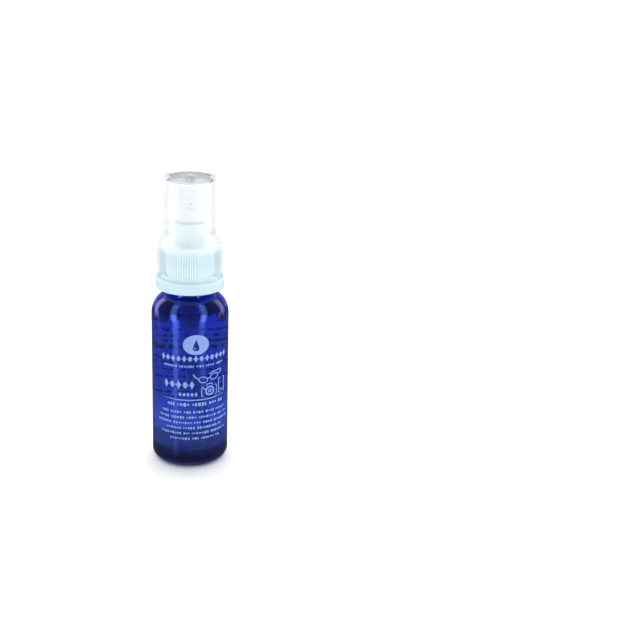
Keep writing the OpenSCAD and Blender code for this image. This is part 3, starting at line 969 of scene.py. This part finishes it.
oc_in += line((SR - HW - 0.05, 83.9), (SR - HW - 0.01, zb + 2.2), 6)
oc_in += [(SR - HW - 0.01, zb + 2.1), (11.24, zb + 1.85), (11.2, zb + 1.6), (11.2, zb + 1.4), (11.24, zb + 1.15), (SR - HW - 0.01, zb + 0.95), (SR - HW + 0.05, zb + 0.3), (SR - 0.72, zb + 0.04)]


def cap_warp(i, th, r, z):
    if 8 < r[0] and z[0] < TOP - 3:
        r = r + wave(th, z[0] * 1.7, 0.006) - 0.006
    return r, z


cap_obj = make("overcap_shell", lathe(oc + oc_in, 224, cap_warp), M_CLEAR, "overcap", ["overcap"], sharp=42)
cap_obj.data.materials.append(M_FROST_PAINTED_GREY)
for poly in cap_obj.data.polygons:
    cr, cz = math.hypot(poly.center.x, poly.center.y) / MM, poly.center.z / MM
    if (cz > TOP - 0.66 and 1.95 < cr < 7.78) or (TOP - 2.75 < cz < TOP - 1.9 and 1.95 < cr < TR - HW - 0.05):
        poly.material_index = 1

# ------------------------------------------------------------------ actuator and nozzle

AR = 5.45
prof = fillet([(AR - 1.1, ACT_Z0 + 0.1), (AR - 1.0, ACT_Z0), (AR - 0.15, ACT_Z0), (AR, ACT_Z0 + 0.18)], 3)
prof += [(AR, 92.0), (AR, 95.0), (AR, 98.0), (AR, 101.0), (AR, 103.4)]
prof += arc(AR - 0.75, ACT_TOP - 0.75, 0.75, 0, 90, 9)
for i in range(1, 15):
    x = (AR - 0.8) * (1 - i / 14)
    prof.append((x, ACT_TOP - 0.02 - 1.0 * (1 - (x / (AR - 0.8)) ** 2) ** 0.9))
prof += [(0, 96.1), (1.95, 96.1), (1.95, 92.0), (1.95, ACT_Z0 + 1.0), (2.1, ACT_Z0 + 0.6), (2.9, ACT_Z0 + 0.6), (3.0, ACT_Z0 + 0.75), (3.0, 96.0), (3.0, 101.2), (3.3, 101.7), (3.9, 101.7), (AR - 1.15, 101.2), (AR - 1.1, 97.0)]


act_geo = lathe(prof, 160)
act_obj = make("actuator_button", act_geo, M_BUTTON, "actuator", ["actuator"], sharp=38)


def cut(obj, geo, name):
    """Cuts a solid out of obj, with the result applied."""
    verts, faces = geo
    me = bpy.data.meshes.new(name)
    me.from_pydata([(x * MM, y * MM, z * MM) for x, y, z in verts], [], faces)
    bm = bmesh.new()
    bm.from_mesh(me)
    bmesh.ops.recalc_face_normals(bm, faces=bm.faces)
    bm.to_mesh(me)
    bm.free()
    tool = bpy.data.objects.new(name, me)
    bpy.context.scene.collection.objects.link(tool)
    mod = obj.modifiers.new("cut", "BOOLEAN")
    mod.operation = "DIFFERENCE"
    mod.solver = "EXACT"
    mod.object = tool
    dg = bpy.context.evaluated_depsgraph_get()
    dg.update()
    out = bpy.data.meshes.new_from_object(obj.evaluated_get(dg))
    obj.modifiers.remove(mod)
    obj.data = out
    bpy.data.objects.remove(tool)
    bm = bmesh.new()
    bm.from_mesh(out)
    lim = math.radians(38)
    for f in bm.faces:
        f.smooth = True
    for e in bm.edges:
        e.smooth = not (len(e.link_faces) == 2 and e.calc_face_angle(0) > lim)
    bm.to_mesh(out)
    bm.free()


def along_y(profile, y0, z, seg=64):
    """A lathe turned to face -Y: profile height runs towards -Y from y0."""
    v, f = lathe(profile, seg)
    return [(x, y0 - h, z + y) for x, y, h in v], f


OZ = 100.5
cut(act_obj, along_y([(0, 0), (2.05, 0), (2.05, 3.5), (0, 3.5)], -3.2, OZ), "pocket")
post = along_y([(0, -0.5), (1.1, -0.5), (1.1, 1.1), (1.0, 1.2), (0, 1.2)], -3.2, OZ)
make("swirl_post", post, M_BUTTON, "actuator", [], sharp=38)
nz = fillet(
    [(1.2, 0), (2.03, 0), (2.03, 1.9, 0.12), (1.86, 2.08, 0.08), (1.5, 2.1), (0.8, 2.1, 0.1), (0.42, 1.78, 0.1), (0.15, 1.75), (0.15, 1.3), (1.2, 1.3)], 4
)
make("nozzle_cup", along_y(nz, -3.25, OZ, 72), M_ACETAL, "actuator", ["nozzle_insert"], sharp=38)

# ------------------------------------------------------------------ pump, stem, tube, spring, ball

hs = [(1.9, 53.5), (2.55, 53.5), (2.8, 53.8), (2.8, 62.0), (3.0, 62.3), (3.9, 62.55), (4.1, 62.9), (4.1, 75.5), (4.3, 75.8), (5.5, 76.75), (5.6, 77.1), (5.6, 81.6), (9.2, 81.6), (9.4, 81.75), (9.4, 82.6), (9.25, 82.8)]
hs += [(4.7, 82.8), (4.6, 82.7), (4.6, 77.05), (4.5, 76.95), (3.25, 76.95), (3.2, 76.85), (3.2, 63.1), (3.1, 63.0), (1.0, 63.0), (1.0, 62.2), (1.5, 62.2), (1.5, 59.85), (0.9, 59.6), (0.8, 59.3), (0.8, 57.5), (1.9, 57.5)]
make("pump_barrel", lathe(fillet([(r, z, 0.06) for r, z in hs], 3), 144), M_NATURAL, "pump", ["pump_housing"], sharp=38)
pc = [(1.97, 77.0), (2.8, 77.0), (2.8, 81.8), (3.5, 81.8), (3.5, 77.0), (4.3, 77.0), (4.57, 77.3), (4.57, 82.8), (5.5, 82.8), (5.5, 83.6), (5.2, 84.0), (2.3, 84.0), (1.97, 83.7)]
make("pump_cap_disc", lathe(fillet([(r, z, 0.08) for r, z in pc], 3), 128), M_NATURAL, "pump", ["pump_cap"], sharp=38)
st = [(1.7, 72.6), (2.4, 72.6), (2.4, 76.8), (1.9, 76.8), (1.9, 95.7), (1.6, 96.0), (0.8, 96.0), (0.8, 74.6), (1.7, 73.2)]
make("stem_tube", lathe(fillet([(r, z, 0.05) for r, z in st], 3), 96), M_ACETAL, "stem", ["stem"], sharp=38)

# dip tube: straight in the socket, then one even bend, cut square at its foot
az = math.radians(-30)
reach, tip = 9.8, 2.8
drop = 53.5 - tip
big = (reach**2 + drop**2) / (2 * reach)
ang = math.asin(drop / big)
path = [(0, 0, 57.4), (0, 0, 56.4), (0, 0, 55.4), (0, 0, 54.4)]
for i in range(49):
    a = ang * i / 48
    d = big * (1 - math.cos(a))
    path.append((d * math.cos(az), d * math.sin(az), 53.5 - big * math.sin(a)))
make("dip_tube_bent", sweep(path, 1.88, 48, hollow=1.2), M_TUBE, "pump", ["dip_tube"], sharp=38)

# return spring: closed ends, open middle; it stops 0.42 mm short of the pin's flange, which is the room the pin needs
# to open
z0, z1, turns, wire, rs = 63.03 + 0.25, 71.05 - 0.25, 5.2, 0.5, 2.3
e = 0.9 / turns
rise = wire * 0.9
coil = []
for i in range(int(turns * 40) + 1):
    t = i / int(turns * 40)
    z = z0 + rise * t / e if t < e else (z1 - rise * (1 - t) / e if t > 1 - e else z0 + rise + (z1 - z0 - 2 * rise) * (t - e) / (1 - 2 * e))
    coil.append((rs * math.cos(TAU * turns * t), rs * math.sin(TAU * turns * t), z))
spring = make("return_spring_coil", sweep(coil, wire / 2 - 0.002, 14), M_SPRING, "pump", ["return_spring"], sharp=50)
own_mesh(spring)

gk = fillet([(5.75, 80.6, 0.15), (9.6, 80.6, 0.15), (9.6, 81.6, 0.15), (5.75, 81.6, 0.15)], 4)
make("gasket_ring", lathe(gk, 128), M_GASKET, "pump", ["gasket"], sharp=38)
pr, p0, p1 = 3.17, 72.6, 76.8
ps = [(2.4, p0), (pr - 0.25, p0), (pr, p0 + 0.15), (pr, p0 + 0.7), (pr - 0.3, p0 + 1.1), (pr - 0.3, p1 - 1.1), (pr, p1 - 0.7), (pr, p1 - 0.15), (pr - 0.25, p1), (2.4, p1)]
make("piston_seal", lathe(fillet([(r, z, 0.08) for r, z in ps], 3), 128), M_PISTON, "stem", ["piston"], sharp=38)
pz = 71.5
vp = [(0, pz - 2.6), (0.9, pz - 2.6, 0.1), (1.2, pz - 2.3, 0.1), (1.2, pz, 0.12), (2.9, pz, 0.12), (2.9, pz + 0.8, 0.12), (1.5, pz + 0.8, 0.12), (1.5, 73.0, 0.1), (0.62, 74.45, 0.1), (0.4, 75.2, 0.08), (0, 75.2)]
make("valve_pin_body", lathe(fillet(vp, 3), 96), M_ACETAL, "valve_pin", ["valve_pin"], sharp=38)
ball_lo, ball_hi = box_mm("inlet_ball")
bc, br = (ball_lo[2] + ball_hi[2]) / 2, (ball_hi[2] - ball_lo[2]) / 2 - 0.002
make("inlet_ball_bead", lathe(arc(0, bc, br, -90, 90, 48), 96), M_BALL, "inlet_ball", ["inlet_ball"], sharp=60)

# ------------------------------------------------------------------ stage, light, camera

sc = bpy.context.scene
sc.view_settings.view_transform = "Standard"
sc.view_settings.look = "None"
sc.view_settings.exposure = 0.0
sc.view_settings.gamma = 1.0
cy = sc.cycles
cy.max_bounces = 28
cy.transmission_bounces = 26
cy.glossy_bounces = 8
cy.diffuse_bounces = 5
cy.transparent_max_bounces = 32
cy.sample_clamp_indirect = 6.0
cy.blur_glossy = 0.3
cy.use_denoising = True


def cam_dir(nt, vector):
    """A direction turned into the camera's own axes, so the light follows the camera round."""
    v = nt.nodes.new("ShaderNodeVectorTransform")
    v.vector_type = "VECTOR"
    v.convert_from = "WORLD"
    v.convert_to = "CAMERA"
    nt.links.new(vector, v.inputs["Vector"])
    n = nt.nodes.new("ShaderNodeVectorMath")
    n.operation = "NORMALIZE"
    nt.links.new(v.outputs["Vector"], n.inputs[0])
    return n.outputs["Vector"]


def math_node(nt, op, a, b=None, clamp=False):
    n = nt.nodes.new("ShaderNodeMath")
    n.operation = op
    n.use_clamp = clamp
    for i, x in enumerate((a, b)):
        if x is None:
            continue
        if isinstance(x, (int, float)):
            n.inputs[i].default_value = x
        else:
            nt.links.new(x, n.inputs[i])
    return n.outputs["Value"]


def dot(nt, v, d):
    n = nt.nodes.new("ShaderNodeVectorMath")
    n.operation = "DOT_PRODUCT"
    nt.links.new(v, n.inputs[0])
    n.inputs[1].default_value = d
    return n.outputs["Value"]


def smooth(nt, v, a, b, lo=0.0, hi=1.0):
    n = nt.nodes.new("ShaderNodeMapRange")
    n.interpolation_type = "SMOOTHSTEP"
    nt.links.new(v, n.inputs["Value"])
    n.inputs["From Min"].default_value = a
    n.inputs["From Max"].default_value = b
    n.inputs["To Min"].default_value = lo
    n.inputs["To Max"].default_value = hi
    return n.outputs["Result"]


FWD = 1.0  # sign of the camera space's forward axis in the shader


def panel(nt, d, az_deg, el_deg, half_w, half_h, soft=0.06, soft_v=0.06):
    """1 inside a soft-edged light panel seen in that direction. Azimuth 0 is from behind the camera, positive to the right."""
    a, e = math.radians(az_deg), math.radians(el_deg)
    c = Vector((math.sin(a) * math.cos(e), math.sin(e), -math.cos(a) * math.cos(e) * FWD))
    u = Vector((math.cos(a), 0, math.sin(a) * FWD))
    v = c.cross(u)
    dc = dot(nt, d, c)
    safe = math_node(nt, "MAXIMUM", dc, 0.001)
    pu = math_node(nt, "ABSOLUTE", math_node(nt, "DIVIDE", dot(nt, d, u), safe))
    pv = math_node(nt, "ABSOLUTE", math_node(nt, "DIVIDE", dot(nt, d, v), safe))
    m = math_node(nt, "MULTIPLY", smooth(nt, pu, half_w - soft, half_w + soft, 1, 0), smooth(nt, pv, half_h - soft_v, half_h + soft_v, 1, 0))
    return math_node(nt, "MULTIPLY", m, smooth(nt, dc, 0.0, 0.05))


world = bpy.data.worlds.new("studio")
sc.world = world
world.use_nodes = True
nt = world.node_tree
nt.nodes.clear()
tc = nt.nodes.new("ShaderNodeTexCoord")
d = cam_dir(nt, tc.outputs["Generated"])
sep = nt.nodes.new("ShaderNodeSeparateXYZ")
nt.links.new(d, sep.inputs[0])
fwd = math_node(nt, "MULTIPLY", sep.outputs["Z"], FWD)
lp = nt.nodes.new("ShaderNodeLightPath")


def glossy_light(nt, d):
    """What shiny surfaces mirror: a dim room, two tall cool soft boxes in front, and narrow warm strips at the sides."""
    total = None
    for az, el, hw, hh, su, sv, power, hue in (
        (-43, 14, 0.15, 0.82, 0.10, 0.16, 2.2, (0.38, 0.66, 2.1)),
        (47, 14, 0.15, 0.82, 0.10, 0.16, 2.4, (0.42, 0.68, 2.1)),
        (-43, -15, 0.15, 0.36, 0.10, 0.14, 3.6, (0.38, 0.66, 2.1)),
        (47, -15, 0.15, 0.36, 0.10, 0.14, 2.8, (0.42, 0.68, 2.1)),
        (-114, 26, 0.16, 0.42, 0.09, 0.26, 2.6, (0.95, 0.82, 1.6)),
        (118, 26, 0.16, 0.42, 0.09, 0.26, 2.0, (0.90, 0.82, 1.6)),
        (-104, -2, 0.05, 0.16, 0.04, 0.12, 1.4, (1.0, 0.85, 1.1)),
        (104, -2, 0.05, 0.16, 0.04, 0.12, 1.4, (1.0, 0.85, 1.1)),
        (0, 72, 0.30, 0.22, 0.15, 0.15, 0.08, (0.8, 0.9, 1.2)),
    ):
        sc_ = nt.nodes.new("ShaderNodeVectorMath")
        sc_.operation = "SCALE"
        sc_.inputs[0].default_value = tuple(h * power for h in hue)
        nt.links.new(panel(nt, d, az, el, hw, hh, su, sv), sc_.inputs["Scale"])
        ad = nt.nodes.new("ShaderNodeVectorMath")
        ad.operation = "ADD"
        ad.inputs[0].default_value = (0.10, 0.10, 0.13)
        if total:
            nt.links.new(total, ad.inputs[0])
        nt.links.new(sc_.outputs["Vector"], ad.inputs[1])
        total = ad.outputs["Vector"]
    return total


front, back, over = 0.78, 2.9, 0.5
up = nt.nodes.new("ShaderNodeSeparateXYZ")
nt.links.new(tc.outputs["Generated"], up.inputs[0])
soft_light = math_node(nt, "ADD", smooth(nt, fwd, -0.45, 0.45, front, back), smooth(nt, up.outputs["Z"], 0.3, 1.0, 0.0, over))
through = smooth(nt, fwd, -0.35, 0.15, 0.30, 1.0)


def pick(nt, fac, a, b):
    n = nt.nodes.new("ShaderNodeMix")
    n.data_type = "FLOAT"
    nt.links.new(fac, n.inputs[0])
    for i, x in ((2, a), (3, b)):
        if isinstance(x, (int, float)):
            n.inputs[i].default_value = x
        else:
            nt.links.new(x, n.inputs[i])
    return n.outputs[0]


light = pick(nt, lp.outputs["Is Transmission Ray"], soft_light, through)
light = pick(nt, lp.outputs["Is Camera Ray"], light, 1.0)
grey = nt.nodes.new("ShaderNodeCombineXYZ")
for i in range(3):
    nt.links.new(light, grey.inputs[i])
mirrored = math_node(nt, "MULTIPLY", lp.outputs["Is Glossy Ray"], lp.outputs["Is Reflection Ray"])
cm = nt.nodes.new("ShaderNodeMix")
cm.data_type = "RGBA"
nt.links.new(mirrored, cm.inputs[0])
nt.links.new(grey.outputs["Vector"], cm.inputs[6])
nt.links.new(glossy_light(nt, d), cm.inputs[7])
bg = nt.nodes.new("ShaderNodeBackground")
nt.links.new(cm.outputs[2], bg.inputs["Color"])
wo = nt.nodes.new("ShaderNodeOutputWorld")
nt.links.new(bg.outputs["Background"], wo.inputs["Surface"])

# floor: pale sweep; to mirrored rays it is not lit but glows with the dim room and soft boxes (a painted reflection),
# so it is dark in the faint reflections that run back towards the camera
me = bpy.data.meshes.new("floor")
S = 4.0
me.from_pydata([(-S, -S, 0), (S, -S, 0), (S, S, 0), (-S, S, 0)], [], [(0, 1, 2, 3)])
floor = bpy.data.objects.new("floor", me)
sc.collection.objects.link(floor)
fm, fnt, fb, fout = new_mat("pale_floor")
fnt.links.new(tint(fnt, noise(fnt, 3, 2), (0.80, 0.80, 0.805), (0.83, 0.83, 0.83)), fb.inputs["Base Color"])
setp(fb, rough=0.7, spec=0.2)
geo = fnt.nodes.new("ShaderNodeNewGeometry")
neg = fnt.nodes.new("ShaderNodeVectorMath")
neg.operation = "SCALE"
neg.inputs["Scale"].default_value = -1.0
fnt.links.new(geo.outputs["Incoming"], neg.inputs[0])
flp = fnt.nodes.new("ShaderNodeLightPath")
em = fnt.nodes.new("ShaderNodeEmission")
fnt.links.new(glossy_light(fnt, cam_dir(fnt, neg.outputs["Vector"])), em.inputs["Color"])
fm.cycles.emission_sampling = "NONE"
fmx = fnt.nodes.new("ShaderNodeMixShader")
mirrored = math_node(fnt, "MULTIPLY", flp.outputs["Is Glossy Ray"], flp.outputs["Is Reflection Ray"])
fnt.links.new(mirrored, fmx.inputs["Fac"])
fnt.links.new(fb.outputs["BSDF"], fmx.inputs[1])
fnt.links.new(em.outputs["Emission"], fmx.inputs[2])
fnt.links.new(fmx.outputs["Shader"], fout.inputs["Surface"])
me.materials.append(fm)

# camera: aimed so that the spray's axis stands upright left of the middle of the frame
F_PX, PITCH_DEG, DIST, HIGH, AXIS_X = 1108.0, 18.98, 395.1, 192.5, 190.2
cam_data = bpy.data.cameras.new("camera")
cam_data.sensor_width = 36.0
cam_data.lens = 36.0 * F_PX / 630.0
cam_data.clip_start, cam_data.clip_end = 0.01, 50
cam = bpy.data.objects.new("camera", cam_data)
sc.collection.objects.link(cam)
turn = math.atan((315 - AXIS_X) / F_PX)
rot = Matrix.Rotation(math.radians(90 - PITCH_DEG), 3, "X") @ Matrix.Rotation(-turn, 3, "Y")
cam.location = (0, -DIST * MM, HIGH * MM)
cam.rotation_mode = "QUATERNION"
cam.rotation_quaternion = rot.to_quaternion()
sc.camera = cam
bpy.context.view_layer.update()
